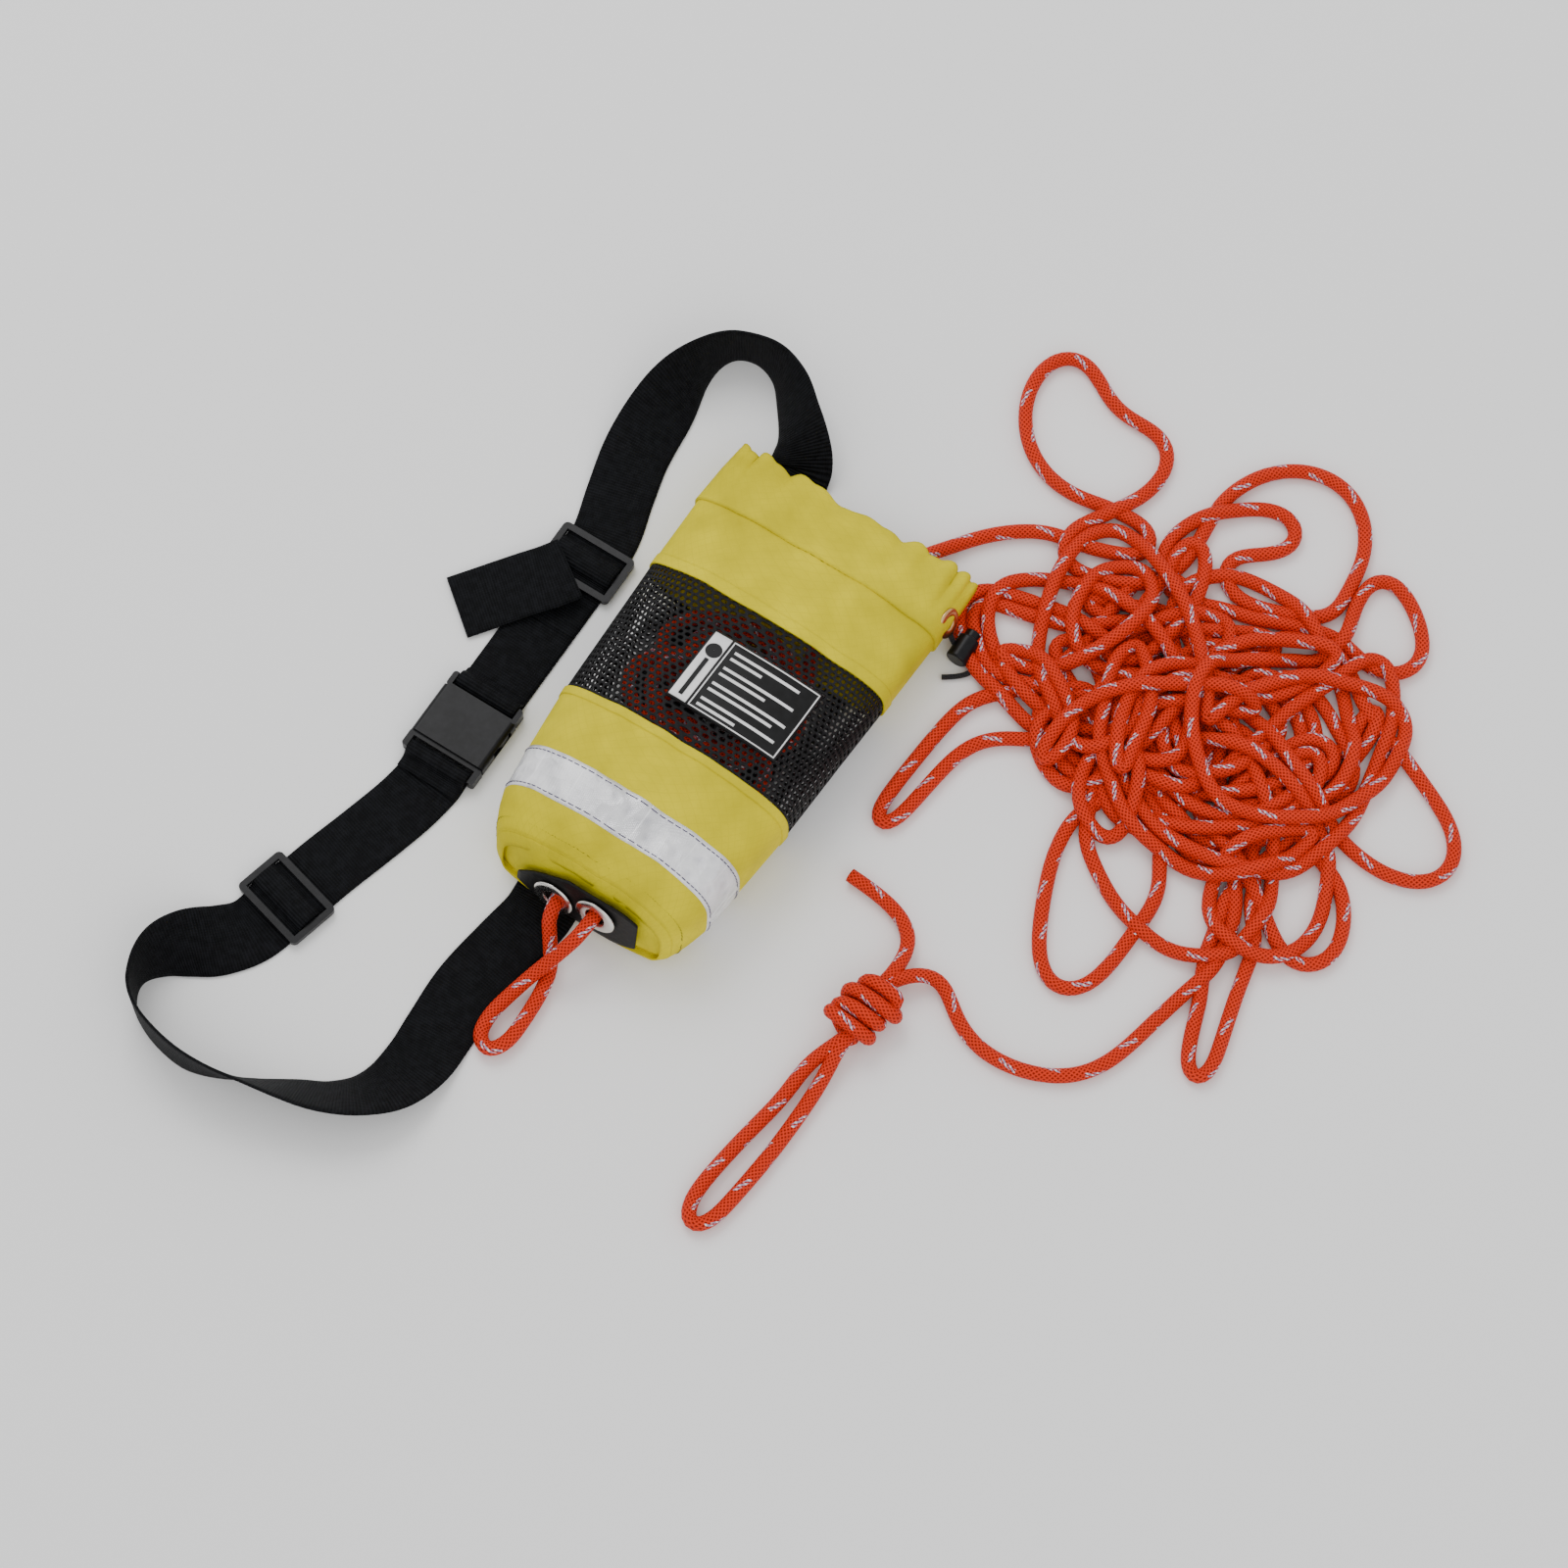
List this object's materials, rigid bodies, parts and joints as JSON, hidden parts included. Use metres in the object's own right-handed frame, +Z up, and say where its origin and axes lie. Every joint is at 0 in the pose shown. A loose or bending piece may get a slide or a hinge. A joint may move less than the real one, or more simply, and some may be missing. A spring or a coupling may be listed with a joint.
{
  "type": "throw rope bag",
  "caption": "Waist-belt throw bag with mesh window, reflective band, side-release buckle and floating rescue rope spilling from its mouth.",
  "frame": {"origin": "on the floor under the centre of the box round the bag and its belt, without the loose rope", "axes": "+Y along the bag from base to mouth, +X to the bag's right, +Z up off the floor"},
  "size_m": [0.5591, 0.6268, 0.0684],
  "materials": {
    "yellow_cloth": "plain woven polyester",
    "mesh": "knitted mesh",
    "reflective": "prismatic vinyl",
    "label": "printed card",
    "leatherette": "fine grain",
    "foam": "closed cell foam",
    "webbing": "ribbed polypropylene webbing",
    "black_plastic": "satin moulded acetal",
    "nickel": "bright nickel",
    "brass": "bright brass",
    "spring_steel": "music wire",
    "drawcord": "braided cord",
    "rope": "braided floating line with white flecks"
  },
  "bodies": {
    "root": {"lower_panel": "yellow_cloth", "upper_panel": "yellow_cloth", "mouth_hem": "yellow_cloth", "base_panel": "yellow_cloth", "mesh_panel": "mesh", "reflective_tape": "reflective", "safety_label": "label", "base_patch": "leatherette", "float_foam": "foam", "belt_back": "webbing", "belt_upper_loop": "webbing", "belt_plug_stretch": "webbing", "belt_lower_loop": "webbing", "belt_socket_wrap": "webbing", "buckle_socket": "black_plastic", "cord_lock_body": "black_plastic", "base_eyelet_1": "nickel", "base_eyelet_2": "nickel", "base_eyelet_washer_1": "nickel", "base_eyelet_washer_2": "nickel", "mouth_eyelet": "brass", "mouth_eyelet_washer": "brass", "cord_lock_spring": "spring_steel", "drawcord_channel_run": "drawcord", "drawcord_end": "drawcord", "base_loop": "rope", "loop_stopper_knots": "rope", "packed_rope": "rope", "rope_heap": "rope", "rope_knot": "rope", "rope_mouth_run": "rope", "rope_heart_loop": "rope", "rope_upper_right_loop": "rope", "rope_inner_loop": "rope", "rope_right_loop": "rope", "rope_lower_right_loop": "rope", "rope_corner_loop": "rope", "rope_low_left_loop": "rope", "rope_bight": "rope", "rope_knot_run": "rope", "rope_hand_loop": "rope", "rope_tail": "rope"},
    "plug": {"buckle_plug": "black_plastic", "belt_plug_wrap": "webbing"},
    "arm_left": {"latch_arm_left": "black_plastic"},
    "arm_right": {"latch_arm_right": "black_plastic"},
    "upper_slider": {"slider_upper": "black_plastic", "slider_upper_turn": "webbing", "belt_tail": "webbing"},
    "lower_slider": {"slider_lower": "black_plastic", "slider_lower_turn": "webbing"},
    "lock_plunger": {"cord_lock_plunger": "black_plastic"}
  },
  "joints": [
    {"name": "buckle_release", "type": "slide", "parent": "root", "child": "plug", "axis": [0, 1, 0], "range_m": [0, 0.028], "deforming": ["belt_plug_stretch", "latch_arm_left", "latch_arm_right"]},
    {"name": "latch_arm_left_squeeze", "type": "hinge", "parent": "plug", "child": "arm_left", "pos_m": [-0.0765, -0.0015, 0.005], "axis": [0, 0, 1], "range_deg": [0, 9], "stiffness_Nm_per_rad": 0.5},
    {"name": "latch_arm_right_squeeze", "type": "hinge", "parent": "plug", "child": "arm_right", "pos_m": [-0.0475, -0.0015, 0.005], "axis": [0, 0, 1], "range_deg": [-9, 0], "stiffness_Nm_per_rad": 0.5},
    {"name": "upper_slider_travel", "type": "slide", "parent": "root", "child": "upper_slider", "axis": [0, 1, 0], "range_m": [-0.022, 0.004]},
    {"name": "lower_slider_travel", "type": "slide", "parent": "root", "child": "lower_slider", "axis": [0.2419, 0.9703, 0], "range_m": [-0.004, 0.02]},
    {"name": "cord_lock_press", "type": "slide", "parent": "root", "child": "lock_plunger", "axis": [0, -1, 0], "range_m": [0, 0.0024], "stiffness_N_per_m": 400, "deforming": ["cord_lock_spring"]}
  ],
  "couplings": [
    {"joint": "latch_arm_right_squeeze", "follows": "latch_arm_left_squeeze", "ratio": -1}
  ]
}
